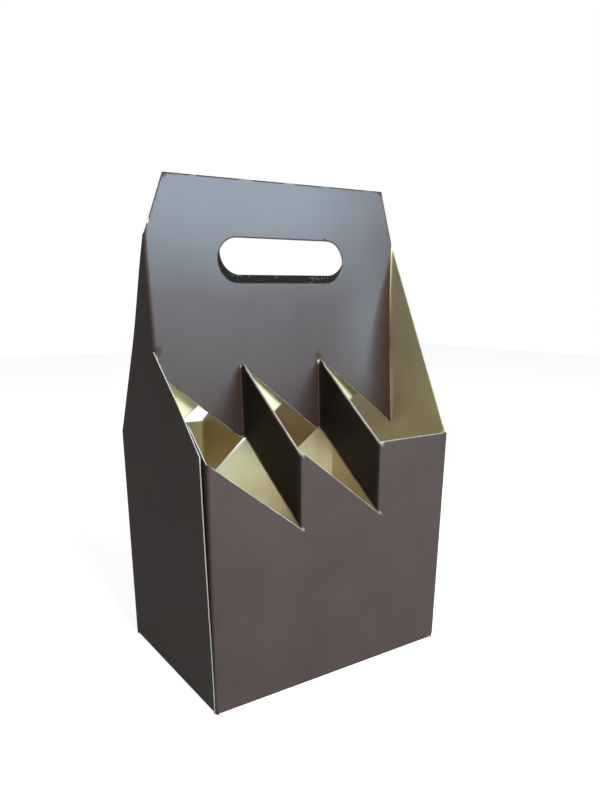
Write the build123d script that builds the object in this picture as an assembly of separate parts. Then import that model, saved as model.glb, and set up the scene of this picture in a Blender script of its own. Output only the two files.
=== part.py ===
"""Carrier for six bottles, folded and glued from one sheet of printed board.

The walls are one band that turns round four corners and closes at a glued seam. Two handle sheets stand
back to back on the middle plane. Each wall is cut in slanted steps, and from every step a divider folds
inward and then folds again into the sawtooth foot of a handle sheet. The back half is the front half
turned half a turn, except at the seam.

Frame: millimetres, +Z up, origin at the middle of the footprint on the table, X along the front wall,
-Y towards the front.
"""
import os

from build123d import *

# Board
board = 0.6  # thickness of the sheet
bend = 1.6  # radius of the printed face at an outward fold
valley = 1.0  # radius of the printed face at an inward fold
land = 1.0  # flat stretch of a cut edge beside a fold
kerf = 0.5  # opening of a cut that was pulled apart
fit_gap = 0.4  # clearance of a free edge inside a corner

# Bottle cells
columns = 3  # cells along each long wall
cell = 63.0  # length of a cell along the wall, and of a divider
sheet_stand = 4.0  # from the middle plane to a handle sheet's printed face at the foot of its teeth

# Walls
wall_height = 161.0
notch_drop = 48.0  # depth of each slanted step, and height of each divider
end_rise = 57.0  # how far the low half of an end wall climbs to the middle plane
slit_run = 5.7  # how far its cut runs on past the middle plane
cut_overrun = 2.4  # how far a step's cut runs past the fold at its foot

# Handle
shoulder_height = 286.0  # top of the handle's upright edges
top_height = 320.0
corner_cut = 13.5  # width of the slanted top corners
glue_foot = 250.0  # the two sheets are glued face to face above this height
hole_width = 96.0
hole_height = 28.5
hole_middle = 273.5  # height of the front sheet's hand hole
hole_slip = 4.0  # how much higher the back sheet's hand hole sits

# Glued seam at the front left corner
tab_width = 25.0
seam_foot = 1.9  # set-back of the end wall's cut edge from the front face, at the table
seam_head = 6.4  # and at the top of the wall

# Base
flap_inset = 2.5  # from a corner to the end of a base flap
base_lap = 8.0  # how far the two main flaps step past the middle plane
base_step = 6.0  # half the length of the slanted part of their joint
end_flap = 48.0
flap_taper = 14.0
tongue_width = 40.0
tongue_reach = 12.0

# Sizes and places that follow
width = columns * cell
half_depth = cell + sheet_stand
left = -width / 2
right = width / 2
front = -half_depth
folds = [left + cell * number for number in range(1, columns)]
notch_foot = wall_height - notch_drop
cut_slope = notch_drop / (cell - bend - land)
corner = board + bend
fold_foot = board + bend
divider_rise = cut_slope * (cell - bend - valley - land)
tooth_foot = notch_foot + divider_rise
tooth_head = tooth_foot + notch_drop
lean = (sheet_stand - board) / (glue_foot - tooth_foot)
end_slope = end_rise / (half_depth - corner)
slit_height = wall_height + end_rise
half_turn = Rot(0, 0, 180)
clear = 1.0  # how far cutting solids stand outside the board


def strip(points, radii, plane=Plane.XY):
    """Section of the sheet, with its printed face on the points and the board to their left."""
    printed_face = FilletPolyline(*points, radius=radii)
    return plane * Face(Wire(printed_face.edges()).offset_2d(board, side=Side.LEFT, closed=True))


def outline_xz(points, y_from, y_to):
    """Upright solid with an outline seen from the front."""
    face = Plane.XZ.offset(-y_to) * make_face(Polyline(*points, close=True))
    return extrude(face, amount=y_to - y_from)


def outline_yz(points, x_from, x_to):
    """Upright solid with an outline seen from the right end."""
    face = Plane.YZ.offset(x_from) * make_face(Polyline(*points, close=True))
    return extrude(face, amount=x_to - x_from)


def both_halves(solid):
    """A front-half solid and its copy turned to the back."""
    return solid + half_turn * solid


def end_edge(y):
    """Height of the slanted cut across the low half of the left end."""
    return wall_height + end_slope * (y - front - corner)


def wall_outline():
    """Front wall with one slanted step for each divider."""
    points = [(left - clear, 0), (right + clear, 0), (right + clear, wall_height)]
    for fold in reversed(folds):
        points += [(fold + bend, wall_height), (fold + bend, notch_foot), (fold, notch_foot)]
        points.append((fold - cell + bend + land, wall_height))
    points.append((left - clear, wall_height))
    return outline_xz(points, front - clear, front + bend)


def end_outline():
    """Left end wall: a low front half, and a back half that runs up to the handle."""
    points = [
        (front - clear, 0),
        (front - clear, wall_height),
        (front + corner, wall_height),
        (0, slit_height),
        (0, shoulder_height),
        (half_depth - corner, wall_height),
        (half_depth + clear, wall_height),
        (half_depth + clear, 0),
    ]
    return outline_yz(points, left - clear, left + corner)


def wall_band():
    """All four walls and the glue tab, trimmed to their outlines."""
    tab_face = left + board
    seam_end = front + seam_foot
    tab_and_front = strip([(tab_face, front + tab_width), (tab_face, front), (right, front), (right, 0)], bend)
    back_and_left = strip([(right, 0), (right, half_depth), (left, half_depth), (left, seam_end)], bend)
    seam_cut = outline_yz(
        [
            (front - clear, 0),
            (front + seam_foot, 0),
            (front + seam_head, wall_height),
            (front + seam_head, slit_height),
            (front - clear, slit_height),
        ],
        left - clear,
        tab_face,
    )
    band = extrude(tab_and_front, amount=shoulder_height)
    band += extrude(back_and_left, amount=shoulder_height) - seam_cut
    band &= both_halves(wall_outline()) + both_halves(end_outline())
    for turned in (Rot(0, 0, 0), half_turn):
        band -= turned * long_fold_room()
        band -= turned * end_fold_room()
    return band


def long_fold_room():
    """Space under the front wall that its base flap's fold takes."""
    reach = width - 2 * flap_inset
    return Pos(0, front, fold_foot / 2) * Box(reach, 2 * corner, fold_foot)


def end_fold_room():
    """The same under the left end, with the tab inside it."""
    reach = 2 * (half_depth - flap_inset)
    return Pos(left, 0, fold_foot / 2) * Box(2 * corner, reach, fold_foot)


def divider(fold):
    """One divider, with its fold to the front wall and its fold to the handle sheet."""
    front_hinge = strip([(fold, 0), (fold, front), (fold + bend + land, front)], bend)
    web = extrude(front_hinge, amount=top_height)
    web &= outline_yz(
        [
            (front - clear, notch_foot),
            (front + bend, notch_foot),
            (front + cell - valley, tooth_foot),
            (front + cell - valley, tooth_head),
            (front + bend, wall_height),
            (front - clear, wall_height),
        ],
        fold - clear,
        fold + bend + land + clear,
    )
    hinge_start = (fold - valley - land, -board)
    rear_hinge = strip([hinge_start, (fold, -board), (fold, front + cell)], valley, Plane.XY.offset(glue_foot))
    sheared = lean_down(rear_hinge)
    sheared &= outline_yz(
        [
            (front + cell - 2 * bend, tooth_foot - cut_slope * bend),
            (front + cell - valley, tooth_foot),
            (clear, tooth_foot),
            (clear, tooth_head),
            (front + cell - valley, tooth_head),
            (front + cell - 2 * bend, tooth_head - cut_slope * bend),
        ],
        fold - cell,
        fold + clear,
    )
    return web + sheared


def lean_down(section):
    """Run a section down from the glued part along the handle sheet's lean."""
    drop = glue_foot - tooth_foot + clear
    path = Vector(0, -lean * drop, -drop)
    return extrude(section, amount=path.length, dir=path)


def handle_outline():
    """Handle sheet seen from the front, with its sawtooth foot."""
    free_left = left + bend + fit_gap
    free_right = right - bend - fit_gap
    points = [(free_left, slit_height + kerf)]
    start = free_left
    for fold in folds:
        tip = fold - valley - land
        points += [(start, tooth_foot + cut_slope * (tip - start)), (tip, tooth_foot), (fold, tooth_foot)]
        points.append((fold, tooth_head))
        start = fold + board
    points += [
        (start, tooth_foot + cut_slope * (free_right - start)),
        (free_right, tooth_foot),
        (free_right, shoulder_height),
        (right - corner_cut, top_height),
        (left + corner_cut, top_height),
        (left, shoulder_height),
        (left, slit_height + kerf),
    ]
    return outline_xz(points, front, bend)


def handle_sheet(hole_height_here):
    """Front handle sheet, folded out of the tall half of the left end, with its hand hole."""
    run = [(left, half_depth / 2), (left, -board), (right, -board)]
    section = strip(run, bend, Plane.XY.offset(glue_foot))
    sheet = extrude(section, amount=top_height - glue_foot) + lean_down(section)
    hole = Plane.XZ * Pos(0, hole_height_here) * SlotOverall(hole_width, hole_height)
    return (sheet & handle_outline()) - extrude(hole, amount=2 * bend, both=True)


def slit():
    """Cut between the low half of the left end and the foot of the handle's fold."""
    points = [(-2 * bend, end_edge(-2 * bend)), (slit_run, end_edge(slit_run))]
    points += [(slit_run, end_edge(slit_run) + kerf), (-2 * bend, end_edge(-2 * bend) + kerf)]
    return outline_yz(points, left - clear, left + corner)


def overrun(fold):
    """The step's cut where it runs past the fold at its foot."""
    far = (fold + bend + land + cut_overrun, notch_foot - cut_slope * cut_overrun)
    points = [(fold - clear, notch_foot), (fold + bend + land, notch_foot), far]
    points += [(far[0], far[1] - kerf), (fold + bend + land, notch_foot - kerf), (fold - clear, notch_foot - kerf)]
    return outline_xz(points, front - clear, front + corner)


def main_flap():
    """Base flap folded in from the front wall, with its half of the stepped middle joint."""
    section = strip([(front, fold_foot), (front, 0), (base_lap, 0)], bend, Plane.YZ.offset(left + flap_inset))
    flap = extrude(section, amount=width - 2 * flap_inset)
    joint = kerf / 2
    beyond = [
        (left - clear, base_lap - joint),
        (-base_step, base_lap - joint),
        (base_step, -base_lap - joint),
        (right + clear, -base_lap - joint),
        (right + clear, base_lap + clear),
        (left - clear, base_lap + clear),
    ]
    return flap - extrude(make_face(Polyline(*beyond, close=True)), amount=board)


def lock_tongue():
    """Tongue of the front flap that lies over the back flap."""
    plate = Pos((left + flap_inset + end_flap) / 2, base_lap) * RectangleRounded(
        tongue_width, 2 * tongue_reach, tongue_reach / 2
    )
    return extrude(Pos(0, 0, board) * plate, amount=board)


def side_flap():
    """Base flap folded in from the left end, on top of the two main flaps."""
    start = left + fold_foot
    reach = half_depth - flap_inset
    section = strip(
        [(left, fold_foot + board), (left, board), (left + end_flap, board)],
        bend,
        Plane.XZ.offset(-reach),
    )
    flap = extrude(section, amount=2 * reach)
    keep = [
        (left - clear, -reach),
        (start, -reach),
        (left + end_flap, -reach + flap_taper),
        (left + end_flap, reach - flap_taper),
        (start, reach),
        (left - clear, reach),
    ]
    return flap & extrude(make_face(Polyline(*keep, close=True)), amount=2 * fold_foot)


carrier = wall_band()
carrier += handle_sheet(hole_middle) + half_turn * handle_sheet(hole_middle + hole_slip)
for fold in folds:
    carrier += both_halves(divider(fold))
carrier += both_halves(main_flap()) + both_halves(side_flap()) + both_halves(lock_tongue())
carrier -= both_halves(slit())
for fold in folds:
    carrier -= both_halves(overrun(fold))

os.makedirs("parts", exist_ok=True)
export_step(carrier, "parts/carrier.step")
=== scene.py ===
"""Looks of the folded bottle carrier: one sheet of printed board, built panel by panel in mesh code.

Modelling sizes are millimetres in the part's frame. The printed face is made first, with its folds, and the
board's thickness is added inwards: gold print inside, raw cream board at every cut edge.
"""
import math

import bmesh
import bpy
import numpy as np
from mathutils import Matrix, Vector
from mathutils.geometry import delaunay_2d_cdt


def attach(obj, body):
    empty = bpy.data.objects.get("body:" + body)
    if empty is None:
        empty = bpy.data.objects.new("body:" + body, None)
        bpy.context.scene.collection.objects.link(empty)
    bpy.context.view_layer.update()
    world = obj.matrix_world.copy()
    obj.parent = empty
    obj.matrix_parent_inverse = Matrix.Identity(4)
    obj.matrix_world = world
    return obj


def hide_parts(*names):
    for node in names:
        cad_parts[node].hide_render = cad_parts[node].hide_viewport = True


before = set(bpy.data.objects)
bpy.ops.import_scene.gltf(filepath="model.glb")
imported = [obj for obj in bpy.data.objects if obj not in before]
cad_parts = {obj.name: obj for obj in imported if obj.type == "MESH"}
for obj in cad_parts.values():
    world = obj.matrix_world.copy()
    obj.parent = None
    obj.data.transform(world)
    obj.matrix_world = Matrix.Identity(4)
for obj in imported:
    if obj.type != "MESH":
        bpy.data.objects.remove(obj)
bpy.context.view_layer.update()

# Sizes of the folded sheet, as in the part's source
BOARD = 0.6
BEND = 1.6
VALLEY = 1.0
LAND = 1.0
FIT_GAP = 0.4
CELL = 63.0
COLUMNS = 3
SHEET_STAND = 4.0
WALL_HEIGHT = 161.0
NOTCH_DROP = 48.0
END_RISE = 57.0
SLIT_RUN = 5.7
CUT_OVERRUN = 2.4
KERF = 0.5
SHOULDER_HEIGHT = 286.0
TOP_HEIGHT = 320.0
CORNER_CUT = 13.5
GLUE_FOOT = 250.0
HOLE_WIDTH = 96.0
TAB_WIDTH = 25.0
SEAM_FOOT = 1.9
SEAM_HEAD = 6.4
FLAP_INSET = 2.5
BASE_LAP = 8.0
BASE_STEP = 6.0
END_FLAP = 48.0
FLAP_TAPER = 14.0
TONGUE_WIDTH = 40.0
TONGUE_REACH = 12.0

# How the made-up sample differs from its drawing
SKEW = 3.3  # how far a divider's inner fold stands to the side of its outer one
BACK_SKEW = 4.6  # the same behind the handle
LEAN_START = 50.0  # height over which a handle sheet curves into its lean
FLARE = 4.8  # how far the free corner of a handle sheet leans out
HOLE_HEIGHT = 26.6
HOLE_MIDDLE = 273.2  # height of the front sheet's hand hole
HOLE_SLIP = 4.9  # how much higher the back sheet's hand hole sits
HOLE_ASIDE = 1.5  # how far it sits to the right of the front sheet's
HOLE_TURN = math.radians(1.1)  # both are punched a little askew
HEAD_TILT = 2.0  # difference in height of the handle's top corners from the middle
HEAD_SPREAD = 1.9  # how far the handle's left end stands out at its shoulder
SHOULDER_LIFT = 2.5  # how much higher a handle sheet's shoulder is on its free side
FOLD_DROP = 4.0  # how much lower than that it is on the folded side
TAB_FOOT = 4.0  # lower end of the glue tab
SEAM_FLARE = 1.3  # how far the seam's free edge stands off the tab
SEAM_REACH = 1.6 * TAB_WIDTH  # how far from the seam the end wall starts to stand off
BOW = 1.6  # how far a long wall bulges
BOW_END = 1.15 * WALL_HEIGHT  # height at which the bulge would end
FIRST_STEP_INSET = 0.4 * BEND  # from the corner to the top of the first slanted step
JOINT_SLACK = 0.1  # how much shorter the slanted part of the main flaps' joint is
TONGUE_GAP = 0.03  # between a tongue and the flap that it lies on

# Sizes and places that follow
WIDTH = COLUMNS * CELL
HALF_DEPTH = CELL + SHEET_STAND
LEFT, RIGHT = -WIDTH / 2, WIDTH / 2
FRONT = -HALF_DEPTH
CORNER = BOARD + BEND
BAND_END = WIDTH + 2 * HALF_DEPTH  # length of a long wall and an end wall
NOTCH_FOOT = WALL_HEIGHT - NOTCH_DROP
CUT_SLOPE = NOTCH_DROP / (CELL - BEND - LAND)
CUT_AT_BEND = NOTCH_FOOT - CUT_SLOPE * BEND  # a step's cut where it meets the divider's fold
CUT_END = BEND + CUT_OVERRUN  # it runs on this far past the divider's plane
TOOTH_FOOT = NOTCH_FOOT + CUT_SLOPE * (CELL - BEND - VALLEY - LAND)
TOOTH_HEAD = TOOTH_FOOT + NOTCH_DROP
LEAN = (SHEET_STAND - BOARD) / (GLUE_FOOT - TOOTH_FOOT - LEAN_START / 2)
END_SLOPE = END_RISE / (HALF_DEPTH - CORNER)
SLIT_TOP = WALL_HEIGHT + END_SLOPE * (HALF_DEPTH - CORNER + SLIT_RUN)
FOLD_BASE = WALL_HEIGHT + END_RISE + KERF  # lowest point of the fold between an end wall and its handle sheet
FREE_SHOULDER = SHOULDER_HEIGHT + SHOULDER_LIFT
FOLD_SHOULDER = FREE_SHOULDER - FOLD_DROP
FREE_LEFT, FREE_RIGHT = LEFT + BEND + FIT_GAP, RIGHT - BEND - FIT_GAP
HOLE_RADIUS = HOLE_HEIGHT / 2

# Mesh
MM = 0.001
STEP = 4.0  # spacing of points
COLUMN_REACH = 0.5 * STEP  # no grid point lies this near to a column of fold points
GRID_ROOM = 0.62 * STEP  # nor this near to an outline
COLUMN_ROOM = 0.15 * STEP  # and no point of a column this near to an outline
RIM = 0.9  # a row of points this far inside each cut edge
RIM_ROOM = 0.8 * RIM
STRAIGHT = 0.7  # cosine of the sharpest turn that such a row follows
MERGE = 1e-5  # the triangulation joins points nearer than this
WELD = 0.02  # and the whole sheet those nearer than this
SLACK = 0.1  # tolerance where a point is found by its place
BEND_PARTS = 6
WALL_ROWS = 40
DIVIDER_ROWS = 12
DIVIDER_COLUMNS = 15
HANDLE_ROWS = 17
HOLE_ARC_PARTS = 16

# Marks for the materials
FOLD_TURN = math.radians(8)  # an edge that turns by more is a fold
RIM_TURN = math.radians(40)  # a cut that turns by more is a corner
RAW_EDGES_TO = 215.0  # below this height the cuts show a raw cream lip
HANDLE_RIM = 0.45  # strength of the mark above it
HOLE_SHADE_REACH = 11.2  # how far the painted shade spreads round the back sheet's hand hole

# Colours, linear
PRINT_DEEP = (0.058, 0.034, 0.029)
PRINT_PLAIN = (0.068, 0.0415, 0.035)
PRINT_PALE = (0.083, 0.054, 0.046)
PRINT_RUBBED = (0.30, 0.26, 0.23)
# painted shade: the print on the dividers is darkened towards this
PRINT_DIVIDER_SHADE = (0.018, 0.016, 0.015)
GOLD_DEEP = (0.70, 0.60, 0.36)
GOLD_PALE = (0.81, 0.71, 0.48)
# painted shade: the gold on the dividers is browned towards this
GOLD_DIVIDER_SHADE = (0.42, 0.275, 0.105)
# painted shade round the back sheet's hand hole: near-black, with pale flecks
HOLE_SHADE_DARK = (0.011, 0.010, 0.008)
HOLE_SHADE_FLECK = (0.40, 0.40, 0.33)
EDGE_CREAM = (0.70, 0.65, 0.56)
EDGE_SHADE = (0.50, 0.45, 0.37)

# Surface
BUMP_DEPTH = 0.0003
CLOUDY = (0.3, 0.7)  # range that holds most values of a noise
GRAINY = (0.35, 0.75)
MIX_FIRST, MIX_SECOND, MIX_RESULT = 6, 7, 2  # a mix node's sockets for colours
VARNISH = {
    "Metallic": 0.1,
    "Specular IOR Level": 0.0,
    "Specular Tint": (0.15, 0.15, 0.15, 1),
    "Coat Weight": 0.095,
    "Coat IOR": 2.5,
    "Coat Roughness": 0.26,
}
GOLD_INK = {"Metallic": 0.15, "Specular IOR Level": 0.2}

# Floor, room and camera
FLOOR_REACH = 3  # metres
FLOOR_COLOUR = (0.55, 0.55, 0.55)
FLOOR_GLOW = 0.88
ROOM_COLOUR = (0.11, 0.105, 0.10)
WHITE = (1, 1, 1)
CAMERA_PLACE = (-0.2530, -0.3905, 0.2469)
CAMERA_TURN = (72.307, -0.412, -34.420)  # degrees
CAMERA_LENS = 29.74
CAMERA_SHIFT = (-0.0024, 0.1431)
SENSOR_WIDTH = 36


def spread(start, end, parts):
    """Points from start to end, both included."""
    return [tuple(np.add(start, np.subtract(end, start) * i / parts)) for i in range(parts + 1)]


def split_long(loop):
    """The loop with its long edges cut into steps."""
    points = []
    for start, end in zip(loop, loop[1:] + loop[:1]):
        parts = max(1, round(math.dist(start, end) / STEP))
        points += spread(start, end, parts)[:-1]
    return points


def within(points, loop):
    """Which points lie inside a closed loop."""
    x, y = points[:, 0], points[:, 1]
    result = np.zeros(len(points), bool)
    for (x1, y1), (x2, y2) in zip(loop, loop[1:] + loop[:1]):
        crosses = (y1 > y) != (y2 > y)
        with np.errstate(divide="ignore", invalid="ignore"):
            reach = (x2 - x1) * (y - y1) / (y2 - y1) + x1
        result ^= crosses & (x < reach)
    return result


def edge_distance(points, loop):
    """Distance of each point to a closed loop."""
    best = np.full(len(points), np.inf)
    for start, end in zip(loop, loop[1:] + loop[:1]):
        start, run = np.array(start), np.subtract(end, start)
        share = np.clip((points - start) @ run / (run @ run), 0, 1)
        best = np.minimum(best, np.linalg.norm(points - start - share[:, None] * run, axis=1))
    return best


def inner_row(loop):
    """One row of points just inside a loop's straight stretches."""
    row = []
    for before, point, after in zip(loop[-1:] + loop[:-1], loop, loop[1:] + loop[:1]):
        into, out = np.subtract(point, before), np.subtract(after, point)
        into, out = into / np.linalg.norm(into), out / np.linalg.norm(out)
        if into @ out > STRAIGHT:
            side = into + out
            row.append(np.array(point) + RIM * np.array([-side[1], side[0]]) / np.linalg.norm(side))
    return row


def inner_points(loop, holes, columns):
    """Points inside a panel, each kind with the room that it keeps from the outlines."""
    flat = np.array(loop)
    low, high = flat.min(axis=0), flat.max(axis=0)
    counts = np.maximum(np.round((high - low) / STEP).astype(int), 1)
    across, up = [np.linspace(low[k], high[k], counts[k] + 1) for k in (0, 1)]
    grid = np.array([(x, y) for x in across for y in up])
    near_column = np.zeros(len(grid), bool)
    for column in columns:
        near_column |= abs(grid[:, 0] - column) < COLUMN_REACH
    rows = np.array([(x, y) for x in columns for y in up]).reshape(-1, 2)
    rim = np.array(inner_row(loop) + [p for hole in holes for p in inner_row(hole[::-1])]).reshape(-1, 2)
    return [(grid[~near_column], GRID_ROOM), (rows, COLUMN_ROOM), (rim, RIM_ROOM)]


def fill(loop, holes=(), columns=()):
    """Triangulates a panel. Its outline runs counter-clockwise; columns are upright lines of fold points."""
    loop = split_long(loop)
    holes = [split_long(hole) for hole in holes]
    points, edges = [], []
    for outline in [loop, *holes]:
        first, count = len(points), len(outline)
        points += outline
        edges += [(first + i, first + (i + 1) % count) for i in range(count)]
    for candidates, room in inner_points(loop, holes, columns):
        keep = within(candidates, loop) & (edge_distance(candidates, loop) > room)
        for hole in holes:
            keep &= ~within(candidates, hole) & (edge_distance(candidates, hole) > room)
        points += [tuple(p) for p in candidates[keep]]
    flat_points, _, triangles, *_ = delaunay_2d_cdt([Vector(p) for p in points], edges, [], 0, MERGE)
    flat_points = np.array([tuple(p) for p in flat_points])
    middles = np.array([flat_points[list(t)].mean(axis=0) for t in triangles])
    keep = within(middles, loop)
    for hole in holes:
        keep &= ~within(middles, hole)
    return flat_points, [tuple(t) for t, kept in zip(triangles, keep) if kept]


class Sheet:
    """The printed face, in millimetres, with triangles that look outwards."""

    def __init__(self):
        self.points = []
        self.faces = []

    def add(self, points, faces, turned):
        """Adds a patch as it is. turned gives it a half turn."""
        points = np.array(points, float)
        if turned:
            points = points * (-1, -1, 1)
        start = len(self.points)
        self.points += [tuple(p) for p in points]
        self.faces += [tuple(start + i for i in face) for face in faces]

    def add_facing(self, points, faces, outward, turned):
        """Adds a patch and sees to it that its printed face looks roughly outward."""
        points = np.array(points, float)
        a, b, c = points[list(faces[len(faces) // 2][:3])]
        if np.cross(b - a, c - a) @ np.array(outward) < 0:
            faces = [tuple(reversed(face)) for face in faces]
        self.add(points, faces, turned)

    def panel(self, flat, place, outward, turned):
        """Adds a filled outline, with place(u, v) giving each point's position."""
        points, faces = flat
        self.add_facing([place(u, v) for u, v in points], faces, outward, turned)

    def strip(self, columns, outward, turned):
        """Adds a patch of quads between columns of points."""
        rows = len(columns[0])
        points = [p for column in columns for p in column]
        faces = []
        for i in range(len(columns) - 1):
            for j in range(rows - 1):
                a = i * rows + j
                faces.append((a, a + rows, a + rows + 1, a + 1))
        self.add_facing(points, faces, outward, turned)


sheet = Sheet()


def smooth(share):
    """0 below 0, 1 above 1 and an even curve between."""
    share = min(max(share, 0), 1)
    return share * share * (3 - 2 * share)


def sheet_y(z):
    """Depth of the front handle sheet's printed face: upright where it is glued, below that leaning out."""
    below = max(GLUE_FOOT - z, 0)
    curved = min(below, LEAN_START)
    return -BOARD - LEAN * (below - curved + curved * curved / (2 * LEAN_START))


def quarter(centre, start, end, part):
    """Point of a quarter circle that starts towards start and ends towards end."""
    angle = math.pi / 2 * part / BEND_PARTS
    return np.array(centre) + math.cos(angle) * np.array(start) + math.sin(angle) * np.array(end)


def round_corner(along, corner, first, second):
    """Position on a path that turns at a corner with the bend's radius; along is measured from the corner."""
    if along <= -BEND:
        return corner + along * first
    if along >= BEND:
        return corner + along * second
    centre = corner - BEND * first + BEND * second
    angle = (along + BEND) / (2 * BEND) * math.pi / 2
    return centre - BEND * math.cos(angle) * second + BEND * math.sin(angle) * first


def bend_columns(corner):
    """Places along the band of the columns of points that round a corner."""
    return [corner + BEND * (2 * i / BEND_PARTS - 1) for i in range(BEND_PARTS + 1)]


def long_fold():
    """Flat points along the fold between a long wall and its base flap."""
    parts = round((WIDTH - 2 * FLAP_INSET) / STEP)
    return spread((FLAP_INSET, BEND), (WIDTH - FLAP_INSET, BEND), parts)


def end_fold():
    """The same for the end wall that follows it."""
    reach = 2 * (HALF_DEPTH - FLAP_INSET)
    return spread((WIDTH + FLAP_INSET, CORNER), (WIDTH + FLAP_INSET + reach, CORNER), round(reach / STEP))


def band_outline(start_corner, turned):
    """Flat outline of a long wall and the end wall after it, as distance along the walls and height.

    The first band starts with the glue tab, and the turned one ends at the seam.
    """
    tab_edge = start_corner - TAB_WIDTH
    if turned:
        loop = [(-BEND, 0)]
    else:
        loop = [(tab_edge, TAB_FOOT), (start_corner - BEND, TAB_FOOT), (start_corner - BEND, 0)]
    loop += [(start_corner + BEND, 0), (FLAP_INSET, 0), *long_fold(), (WIDTH - FLAP_INSET, 0)]
    loop += [(WIDTH - BEND, 0), (WIDTH + BEND, 0), (WIDTH + FLAP_INSET, 0), *end_fold()]
    loop.append((BAND_END - FLAP_INSET, 0))
    if turned:
        loop.append((BAND_END - SEAM_FOOT, 0))
        loop.append((BAND_END - SEAM_HEAD, WALL_HEIGHT + END_SLOPE * (SEAM_HEAD - CORNER)))
    else:
        loop += spread((BAND_END - BEND, 0), (BAND_END - BEND, WALL_HEIGHT), WALL_ROWS)
        loop.append((BAND_END - CORNER, WALL_HEIGHT))
    loop.append((WIDTH + HALF_DEPTH - SLIT_RUN, SLIT_TOP))
    for _, z in spread((0, FOLD_BASE), (0, FOLD_SHOULDER), HANDLE_ROWS):
        loop.append((WIDTH + HALF_DEPTH - sheet_y(z) - BEND, z))
    loop += [(WIDTH + CORNER, WALL_HEIGHT), (WIDTH + BEND, WALL_HEIGHT), (WIDTH - BEND, WALL_HEIGHT)]
    for number in range(COLUMNS - 1, 0, -1):
        fold = number * CELL
        loop += spread((fold + BEND, WALL_HEIGHT), (fold + BEND, CUT_AT_BEND), DIVIDER_ROWS)
        loop.append((fold + CUT_END, NOTCH_FOOT - CUT_SLOPE * CUT_END))
        loop += [(fold + BEND, CUT_AT_BEND - KERF), (fold, NOTCH_FOOT - KERF / 2)]
    loop.append((start_corner + FIRST_STEP_INSET, WALL_HEIGHT))
    if turned:
        loop += spread((-BEND, WALL_HEIGHT), (-BEND, 0), WALL_ROWS)[:-1]
    else:
        loop.append((start_corner - CORNER, WALL_HEIGHT))
        loop.append((tab_edge, WALL_HEIGHT + END_SLOPE * (TAB_WIDTH - CORNER)))
    return loop


def band(turned):
    """Adds a long wall, the end wall after it and the folds below them."""
    start_corner = 0 if turned else BOARD
    forward, inward = np.array([1.0, 0]), np.array([0, 1.0])

    def place(along, z):
        if along < WIDTH / 2:
            corner = np.array([LEFT + start_corner, FRONT])
            x, y = round_corner(along - start_corner, corner, -inward, forward)
        elif along < WIDTH + HALF_DEPTH:
            x, y = round_corner(along - WIDTH, np.array([RIGHT, FRONT]), forward, inward)
        else:
            x, y = RIGHT, FRONT + along - WIDTH
        return x, y, z

    columns = bend_columns(start_corner) + bend_columns(WIDTH)
    points, faces = fill(band_outline(start_corner, turned), columns=columns)
    outward_faces = []
    for face in faces:
        a, b, c = points[list(face)]
        area = np.cross(b - a, c - a)
        outward_faces.append(face if area > 0 else tuple(reversed(face)))
    sheet.add([place(u, v) for u, v in points], outward_faces, turned)
    main_flap(turned)
    end_flap(turned)


def main_flap(turned):
    """The fold under a long wall, with its base flap and the tongue that locks it."""
    columns = []
    for part in range(BEND_PARTS + 1):
        y, z = quarter((FRONT + BEND, BEND), (-BEND, 0), (0, -BEND), part)
        columns.append([(LEFT + along, y, z) for along, _ in long_fold()])
    sheet.strip(columns, (0, -1, -1), turned)
    joint = KERF / 2
    lap = BASE_LAP - joint
    tip = BASE_LAP + TONGUE_REACH
    nip = TONGUE_REACH / 2
    tongue_middle = (LEFT + FLAP_INSET + END_FLAP) / 2
    tongue_left, tongue_right = tongue_middle - TONGUE_WIDTH / 2, tongue_middle + TONGUE_WIDTH / 2
    loop = [(x, y) for x, y, _ in columns[-1]]
    loop += [
        (RIGHT - FLAP_INSET, -BASE_LAP - joint),
        (BASE_STEP, -BASE_LAP - joint),
        (-BASE_STEP + JOINT_SLACK, lap),
        (tongue_right, lap),
        (tongue_right, tip - nip),
        (tongue_right - nip, tip),
        (tongue_left + nip, tip),
        (tongue_left, tip - nip),
        (tongue_left, lap),
        (LEFT + FLAP_INSET, lap),
    ]

    def place(x, y):
        on_tongue = tongue_left - STEP / 4 < x < tongue_right + STEP / 4
        rise = min(max((y - lap) / joint / 2, 0), 1) if on_tongue else 0
        return x, y, (BOARD + TONGUE_GAP) * rise

    sheet.panel(fill(loop), place, (0, 0, -1), turned)


def end_flap(turned):
    """The fold under an end wall, with its base flap."""
    columns = []
    for part in range(BEND_PARTS + 1):
        x, z = quarter((RIGHT - BEND, CORNER), (BEND, 0), (0, -BEND), part)
        columns.append([(x, FRONT + along - WIDTH, z) for along, _ in end_fold()])
    sheet.strip(columns, (1, 0, -1), turned)
    level = CORNER - BEND
    reach = HALF_DEPTH - FLAP_INSET
    loop = [(x, y) for x, y, _ in columns[-1]]
    loop += [(RIGHT - END_FLAP, reach - FLAP_TAPER), (RIGHT - END_FLAP, -reach + FLAP_TAPER)]
    sheet.panel(fill(loop), lambda x, y: (x, y, level), (0, 0, -1), turned)


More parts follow.
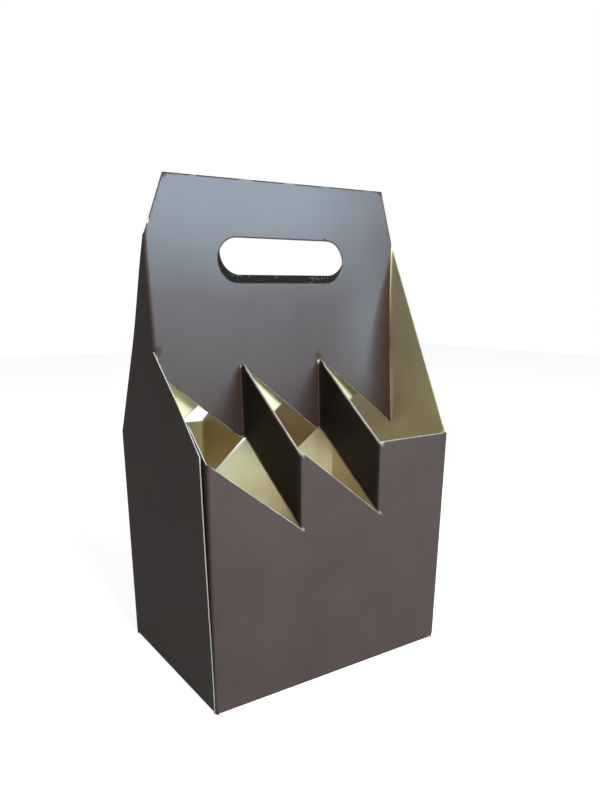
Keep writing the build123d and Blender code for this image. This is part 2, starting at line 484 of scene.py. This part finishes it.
def divider(fold, turned):
    """A divider with its fold out of the wall and its fold into a handle sheet."""
    steps = [NOTCH_DROP * j / DIVIDER_ROWS for j in range(DIVIDER_ROWS + 1)]
    columns = []
    for part in range(BEND_PARTS + 1):
        x, y = quarter((fold + BEND, FRONT + BEND), (0, -BEND), (-BEND, 0), part)
        foot = CUT_AT_BEND + (NOTCH_FOOT - CUT_AT_BEND) * part / BEND_PARTS
        columns.append([(x, y, z) for _, z in spread((0, foot), (0, WALL_HEIGHT), DIVIDER_ROWS)])
    skew = BACK_SKEW if turned else SKEW
    inner_end = FRONT + CELL - VALLEY
    for x, y in spread((fold, FRONT + BEND), (fold - skew, inner_end), DIVIDER_COLUMNS)[1:]:
        foot = NOTCH_FOOT + CUT_SLOPE * (y - FRONT - BEND)
        columns.append([(x, y, foot + rise) for rise in steps])
    for part in range(BEND_PARTS + 1):
        column = []
        for rise in steps:
            z = TOOTH_FOOT + rise
            centre = (fold - skew - VALLEY, sheet_y(z) - VALLEY)
            x, y = quarter(centre, (VALLEY, 0), (0, VALLEY), part)
            column.append((x, y, z))
        columns.append(column)
    sheet.strip(columns, (-1, 0, 0), turned)


def handle_outline(turned, tilt):
    """Flat outline of a handle sheet, without the fold on its left side."""
    loop = [(FREE_LEFT, FOLD_BASE)]
    start = FREE_LEFT
    for number in range(1, COLUMNS):
        fold = LEFT + number * CELL - (BACK_SKEW if turned else SKEW)
        tip = fold - VALLEY - LAND
        loop += [(start, TOOTH_FOOT + CUT_SLOPE * (tip - start)), (tip, TOOTH_FOOT)]
        loop += spread((fold - VALLEY, TOOTH_FOOT), (fold - VALLEY, TOOTH_HEAD), DIVIDER_ROWS)
        start = fold + BOARD
    loop += [
        (start, TOOTH_FOOT + CUT_SLOPE * (FREE_RIGHT - start)),
        (FREE_RIGHT, TOOTH_FOOT),
        (FREE_RIGHT, FREE_SHOULDER),
        (RIGHT - CORNER_CUT, TOP_HEIGHT + tilt),
        (LEFT + CORNER_CUT, TOP_HEIGHT - tilt),
    ]
    return loop


def hole_outline(turned):
    """Flat outline of a hand hole."""
    middle = HOLE_MIDDLE + (HOLE_SLIP if turned else 0)
    aside, turn = (-HOLE_ASIDE, -HOLE_TURN) if turned else (0, HOLE_TURN)
    hole = []
    for side in (1, -1):
        for i in range(HOLE_ARC_PARTS + 1):
            angle = math.pi * (i / HOLE_ARC_PARTS - 0.5)
            x = side * (HOLE_WIDTH / 2 - HOLE_RADIUS + HOLE_RADIUS * math.cos(angle))
            z = side * HOLE_RADIUS * math.sin(angle)
            across = x * math.cos(turn) - z * math.sin(turn)
            up = x * math.sin(turn) + z * math.cos(turn)
            hole.append((aside + across, middle + up))
    return hole


def handle(turned):
    """A handle sheet with its sawtooth foot, its hand hole and its fold out of the end wall."""
    tilt = -HEAD_TILT if turned else HEAD_TILT
    shoulder_slope = (TOP_HEIGHT - tilt - FOLD_SHOULDER) / CORNER_CUT
    columns = []
    for part in range(BEND_PARTS + 1):
        inset = BEND * (1 - math.cos(math.pi / 2 * part / BEND_PARTS))
        head = FOLD_SHOULDER + shoulder_slope * inset
        column = []
        for _, z in spread((0, FOLD_BASE), (0, head), HANDLE_ROWS):
            x, y = quarter((LEFT + BEND, sheet_y(z) + BEND), (-BEND, 0), (0, -BEND), part)
            column.append((x, y, z))
        columns.append(column)
    sheet.strip(columns, (-1, -1, 0), turned)
    loop = handle_outline(turned, tilt) + [(x, z) for x, _, z in reversed(columns[-1])]
    folds_end = RIGHT - CELL

    def place(x, z):
        low = (SHOULDER_HEIGHT - z) / (SHOULDER_HEIGHT - TOOTH_FOOT)
        free = smooth((x - folds_end) / (FREE_RIGHT - folds_end)) * smooth(low)
        return x, sheet_y(z) - FLARE * free, z

    sheet.panel(fill(loop, holes=[hole_outline(turned)]), place, (0, -1, 0), turned)


for turned in (False, True):
    band(turned)
    for number in range(1, COLUMNS):
        divider(LEFT + number * CELL, turned)
    handle(turned)


def weld(points, faces):
    """Joins points that lie on each other, and drops faces that close up."""
    found_at, index, kept = {}, [], []
    near = [(dx, dy, dz) for dx in (-1, 0, 1) for dy in (-1, 0, 1) for dz in (-1, 0, 1)]
    for point in points:
        x, y, z = (round(c / WELD) for c in point)
        found = None
        for dx, dy, dz in near:
            found = found_at.get((x + dx, y + dy, z + dz), found)
        if found is None:
            found = len(kept)
            kept.append(point)
            found_at[(x, y, z)] = found
        index.append(found)
    closed = [tuple(index[i] for i in face) for face in faces]
    return kept, [face for face in closed if len(set(face)) == len(face)]


def settle(point):
    """Where a point of the folded sheet lies on the used sample.

    The long walls bulge, the seam's edge stands off and the handle's left end stands out.
    """
    x, y, z = point
    across = math.cos(math.pi * x / WIDTH)
    upright = math.sin(math.pi * min(z / BOW_END, 1))
    outer = smooth((abs(y) - CELL / 2) / (CELL / 2))
    y += math.copysign(BOW * across * upright * outer, y)
    if x < LEFT + BOARD / 2:
        near = smooth(1 - (y - FRONT) / SEAM_REACH)
        x -= SEAM_FLARE * near * smooth(z / WALL_HEIGHT)
    if z > FOLD_BASE:
        high = smooth((z - FOLD_BASE) / (SHOULDER_HEIGHT - FOLD_BASE))
        x -= HEAD_SPREAD * smooth(-x / RIGHT) * high
    return x, y, z


points, faces = weld(sheet.points, sheet.faces)
mesh = bpy.data.meshes.new("carrier_board")
mesh.from_pydata([Vector(settle(point)) * MM for point in points], [], faces)
mesh.validate()
mesh.polygons.foreach_set("use_smooth", [True] * len(mesh.polygons))
board = bpy.data.objects.new("carrier_board", mesh)
bpy.context.scene.collection.objects.link(board)


def hole_shade(point):
    """1 round the back sheet's hand hole, where painted shade darkens its inner face, standing in for the
    shade in the gap between the sheets.
    """
    x, y, z = point
    if not -SLACK < y < BOARD + SLACK:
        return 0.0
    aside = max(abs(x - HOLE_ASIDE) - (HOLE_WIDTH / 2 - HOLE_RADIUS), 0)
    return 1.0 if math.hypot(aside, z - HOLE_MIDDLE - HOLE_SLIP) < HOLE_RADIUS + HOLE_SHADE_REACH else 0.0


def divider_shade(point):
    """1 on the dividers, where painted shade darkens the print and browns the gold, standing in for the shade
    inside the cells.
    """
    x, y, z = point
    clear_of_handle = abs(y) > 1.5 * SHEET_STAND
    clear_of_walls = abs(y) < HALF_DEPTH - CORNER and abs(x) < CELL
    return 1.0 if z > END_FLAP and clear_of_handle and clear_of_walls else 0.0


def rim_strength(vert):
    """How plainly a cut edge shows a cream lip: it fades at the outline's corners and up on the handle."""
    ends = [edge.other_vert(vert).co for edge in vert.link_edges if edge.is_boundary]
    if len(ends) != 2 or (vert.co - ends[0]).angle(ends[1] - vert.co) > RIM_TURN:
        return 0.0
    return 1.0 if vert.co.z < RAW_EDGES_TO * MM else HANDLE_RIM


def fold_and_rim_marks():
    """fold is 1 along every fold, and rim is the strength of the lip along every cut edge."""
    solid = bmesh.new()
    solid.from_mesh(mesh)
    fold = [0.0] * len(solid.verts)
    for edge in solid.edges:
        if abs(edge.calc_face_angle(0)) > FOLD_TURN:
            for vert in edge.verts:
                fold[vert.index] = 1.0
    rim = [rim_strength(vert) for vert in solid.verts]
    solid.free()
    return fold, rim


def mark(name, values):
    """Stores one number per point of the board's mesh, for the materials."""
    layer = mesh.attributes.new(name, "FLOAT", "POINT")
    layer.data.foreach_set("value", values)


fold_marks, rim_marks = fold_and_rim_marks()
mark("fold", fold_marks)
mark("rim", rim_marks)
mark("hole_shade", [hole_shade(v.co / MM) for v in mesh.vertices])
mark("divider_shade", [divider_shade(v.co / MM) for v in mesh.vertices])


class Nodes:
    """A material's node tree written as calls: each call adds a node and returns its output."""

    def __init__(self, name):
        self.material = bpy.data.materials.new(name)
        self.material.use_nodes = True
        self.tree = self.material.node_tree
        self.shader = self.tree.nodes["Principled BSDF"]
        self.place = self.add("ShaderNodeTexCoord").outputs["Object"]

    def add(self, kind, settings=None, **inputs):
        """Adds a node with its settings and, by name, its inputs."""
        node = self.tree.nodes.new(kind)
        for key, value in (settings or {}).items():
            setattr(node, key, value)
        for key, value in inputs.items():
            self.link(value, node.inputs[key.replace("_", " ")])
        return node

    def link(self, value, socket):
        if isinstance(value, bpy.types.NodeSocket):
            self.tree.links.new(value, socket)
        else:
            socket.default_value = value

    def noise(self, scale, stretch=(1, 1, 1), detail=3.0, roughness=0.5):
        """Noise of scale waves per metre, more or fewer along an axis that is stretched."""
        mapped = self.add("ShaderNodeMapping", Vector=self.place, Scale=stretch).outputs["Vector"]
        made = self.add("ShaderNodeTexNoise", Vector=mapped, Scale=scale, Detail=detail, Roughness=roughness)
        return made.outputs["Fac"]

    def grain(self):
        """Fine upright grain of the board, which shows through the print."""
        return self.noise(scale=420.0, stretch=(1, 1, 0.06), detail=2.0)

    def ramp(self, value, low, high, to_low=0.0, to_high=1.0):
        """Carries the range from low to high over to the range from to_low to to_high."""
        made = self.add("ShaderNodeMapRange", Value=value, From_Min=low, From_Max=high)
        made.inputs["To Min"].default_value = to_low
        made.inputs["To Max"].default_value = to_high
        return made.outputs["Result"]

    def mix(self, share, first, second):
        made = self.add("ShaderNodeMix", {"data_type": "RGBA"})
        self.link(share, made.inputs["Factor"])
        for colour, index in ((first, MIX_FIRST), (second, MIX_SECOND)):
            linked = isinstance(colour, bpy.types.NodeSocket)
            self.link(colour if linked else (*colour, 1), made.inputs[index])
        return made.outputs[MIX_RESULT]

    def calculate(self, operation, first, second):
        made = self.add("ShaderNodeMath", {"operation": operation})
        self.link(first, made.inputs[0])
        self.link(second, made.inputs[1])
        return made.outputs["Value"]

    def times(self, first, second):
        return self.calculate("MULTIPLY", first, second)

    def mark(self, name):
        """One of the numbers that the mesh stores for each point."""
        return self.add("ShaderNodeAttribute", {"attribute_name": name}).outputs["Fac"]

    def finish(self, colour, roughness, height, bump, constant):
        """Links the shader. constant holds the values that are the same all over the surface."""
        self.link(colour, self.shader.inputs["Base Color"])
        self.link(roughness, self.shader.inputs["Roughness"])
        made = self.add("ShaderNodeBump", Height=height, Strength=bump, Distance=BUMP_DEPTH)
        self.link(made.outputs["Normal"], self.shader.inputs["Normal"])
        self.link(made.outputs["Normal"], self.shader.inputs["Coat Normal"])
        for key, value in constant.items():
            self.shader.inputs[key].default_value = value
        return self.material


def print_material():
    """Satin dark brown print: faint cloudy ink, upright grain, rubbed folds and edges, and painted shade on
    the dividers.
    """
    n = Nodes("board_print")
    cloud = n.noise(scale=28.0, detail=4.0)
    grain = n.grain()
    tooth = n.noise(scale=1500.0, detail=2.0)
    ink = n.mix(n.ramp(cloud, *CLOUDY), PRINT_DEEP, PRINT_PLAIN)
    ink = n.mix(n.ramp(grain, *GRAINY, to_high=0.09), ink, PRINT_PALE)
    # Painted shade: the print on the dividers is darkened, for the shade inside the cells.
    ink = n.mix(n.times(n.mark("divider_shade"), 0.7), ink, PRINT_DIVIDER_SHADE)
    speckle = n.ramp(n.noise(scale=900.0), low=0.52, high=0.62, to_high=0.10)
    ink = n.mix(n.times(n.mark("fold"), speckle), ink, PRINT_RUBBED)
    patchy = n.ramp(n.noise(scale=130.0), low=0.35, high=0.6, to_low=0.4, to_high=0.8)
    raw = n.times(n.ramp(n.mark("rim"), low=0.5, high=0.8), patchy)
    ink = n.mix(raw, ink, EDGE_CREAM)
    smear = n.noise(scale=45.0, stretch=(1, 1, 0.4))
    roughness = n.ramp(smear, *CLOUDY, to_low=0.28, to_high=0.36)
    height = n.calculate("ADD", n.times(tooth, 0.5), n.times(grain, 0.25))
    return n.finish(ink, roughness, height, bump=0.12, constant=VARNISH)


def inside_material():
    """Pale gold print on the inside, with painted shade that browns it on the dividers and darkens it round
    the back sheet's hand hole.
    """
    n = Nodes("board_inside")
    cloud = n.noise(scale=35.0, detail=4.0)
    grain = n.grain()
    tooth = n.noise(scale=1300.0, detail=2.0)
    gold = n.mix(n.ramp(cloud, *CLOUDY), GOLD_DEEP, GOLD_PALE)
    gold = n.mix(n.ramp(grain, *GRAINY, to_high=0.3), gold, GOLD_DEEP)
    patchy = n.ramp(n.noise(scale=160.0), low=0.4, high=0.65, to_low=0.3, to_high=0.9)
    worn = n.times(n.ramp(n.mark("rim"), low=0.6, high=0.9), patchy)
    gold = n.mix(worn, gold, EDGE_CREAM)
    # Painted shade: the gold on the dividers is browned, for the shade inside the cells.
    gold = n.mix(n.times(n.mark("divider_shade"), 0.9), gold, GOLD_DIVIDER_SHADE)
    # Painted shade round the back sheet's hand hole: near-black with pale flecks, for the shade in the gap
    # between the sheets. It is also made fully rough.
    flecks = n.ramp(n.noise(scale=700.0, detail=4.0, roughness=0.6), low=0.56, high=0.66, to_high=0.6)
    smears = n.ramp(n.noise(scale=60.0, stretch=(1, 1, 4), detail=2.0), low=0.50, high=0.60)
    hole_shade_colour = n.mix(n.times(flecks, smears), HOLE_SHADE_DARK, HOLE_SHADE_FLECK)
    gold = n.mix(n.mark("hole_shade"), gold, hole_shade_colour)
    satin = n.ramp(cloud, *CLOUDY, to_low=0.38, to_high=0.5)
    roughness = n.calculate("MAXIMUM", satin, n.mark("hole_shade"))
    height = n.calculate("ADD", n.times(tooth, 0.6), n.times(grain, 0.4))
    return n.finish(gold, roughness, height, bump=0.15, constant=GOLD_INK)


def edge_material():
    """Raw board at a cut: cream fibres, with a little ink dragged over it."""
    n = Nodes("board_edge")
    fibre = n.noise(scale=1200.0, detail=4.0, roughness=0.7)
    cream = n.mix(n.ramp(fibre, low=0.35, high=0.65), EDGE_SHADE, EDGE_CREAM)
    soiled = n.ramp(n.noise(scale=90.0), low=0.58, high=0.75, to_high=0.45)
    cream = n.mix(soiled, cream, PRINT_RUBBED)
    return n.finish(cream, 0.9, fibre, bump=0.5, constant={})


for made in (print_material(), inside_material(), edge_material()):
    mesh.materials.append(made)

thickness = board.modifiers.new("thickness", "SOLIDIFY")
thickness.thickness = BOARD * MM
thickness.offset = -1
thickness.material_offset = 1
thickness.material_offset_rim = 2

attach(board, "root")
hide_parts("carrier")


def seen_rays(tree):
    """1 for the rays that show the white background: the camera's, and those in gloss and glass."""
    path = tree.nodes.new("ShaderNodeLightPath")
    seen = path.outputs["Is Camera Ray"]
    for kind in ("Is Glossy Ray", "Is Transmission Ray"):
        either = tree.nodes.new("ShaderNodeMath")
        either.operation = "MAXIMUM"
        tree.links.new(seen, either.inputs[0])
        tree.links.new(path.outputs[kind], either.inputs[1])
        seen = either.outputs["Value"]
    return seen


def floor_material():
    """Plain pale floor. The camera sees it as white, apart from the object's shadow."""
    made = bpy.data.materials.new("floor_white")
    made.use_nodes = True
    tree = made.node_tree
    shader = tree.nodes["Principled BSDF"]
    shader.inputs["Base Color"].default_value = (*FLOOR_COLOUR, 1)
    shader.inputs["Roughness"].default_value = 1.0
    shader.inputs["Specular IOR Level"].default_value = 0.0
    shader.inputs["Emission Color"].default_value = (*WHITE, 1)
    glow = tree.nodes.new("ShaderNodeMath")
    glow.operation = "MULTIPLY"
    glow.inputs[1].default_value = FLOOR_GLOW
    tree.links.new(seen_rays(tree), glow.inputs[0])
    tree.links.new(glow.outputs["Value"], shader.inputs["Emission Strength"])
    return made


def make_floor():
    """A square floor on the table's level."""
    far = FLOOR_REACH
    data = bpy.data.meshes.new("floor")
    data.from_pydata([(-far, -far, 0), (far, -far, 0), (far, far, 0), (-far, far, 0)], [], [(0, 1, 2, 3)])
    data.materials.append(floor_material())
    floor = bpy.data.objects.new("floor", data)
    bpy.context.scene.collection.objects.link(floor)


def make_world():
    """A dim room that shows as white in the background."""
    world = bpy.data.worlds.new("world")
    bpy.context.scene.world = world
    world.use_nodes = True
    tree = world.node_tree
    room = tree.nodes.new("ShaderNodeMix")
    room.data_type = "RGBA"
    room.inputs[MIX_FIRST].default_value = (*ROOM_COLOUR, 1)
    room.inputs[MIX_SECOND].default_value = (*WHITE, 1)
    tree.links.new(seen_rays(tree), room.inputs["Factor"])
    tree.links.new(room.outputs[MIX_RESULT], tree.nodes["Background"].inputs["Color"])


def make_lamp(name, place, aim, size, power, colour):
    """A soft rectangular lamp that looks at a point. Places and sizes are in metres, power in watts."""
    data = bpy.data.lights.new(name, "AREA")
    data.shape = "RECTANGLE"
    data.size, data.size_y = size
    data.energy = power
    data.color = colour
    made = bpy.data.objects.new(name, data)
    made.location = place
    made.rotation_euler = (Vector(aim) - Vector(place)).to_track_quat("-Z", "Y").to_euler()
    bpy.context.scene.collection.objects.link(made)


def make_camera():
    """The photograph's viewpoint."""
    data = bpy.data.cameras.new("camera")
    data.sensor_width = SENSOR_WIDTH
    data.lens = CAMERA_LENS
    data.shift_x, data.shift_y = CAMERA_SHIFT
    camera = bpy.data.objects.new("camera", data)
    camera.location = CAMERA_PLACE
    camera.rotation_euler = [math.radians(angle) for angle in CAMERA_TURN]
    bpy.context.scene.collection.objects.link(camera)
    bpy.context.scene.camera = camera


make_floor()
make_world()
make_lamp(
    "window",
    place=(0.64, -1.27, 0.54),
    aim=(0, 0, 0.24),
    size=(0.8, 0.40),
    power=25,
    colour=(0.51, 0.80, 1.0),
)
make_lamp(
    "sky",
    place=(-0.05, -1.30, 0.87),
    aim=(0, 0, 0.15),
    size=(0.45, 0.5),
    power=16,
    colour=(0.93, 1, 0.97),
)
make_lamp(
    "top",
    place=(0.5, -0.3, 1.7),
    aim=(0, 0, 0.1),
    size=(1.2, 1.2),
    power=3,
    colour=(1, 0.97, 0.93),
)
make_camera()

bpy.context.scene.view_settings.view_transform = "Standard"

bpy.context.view_layer.update()
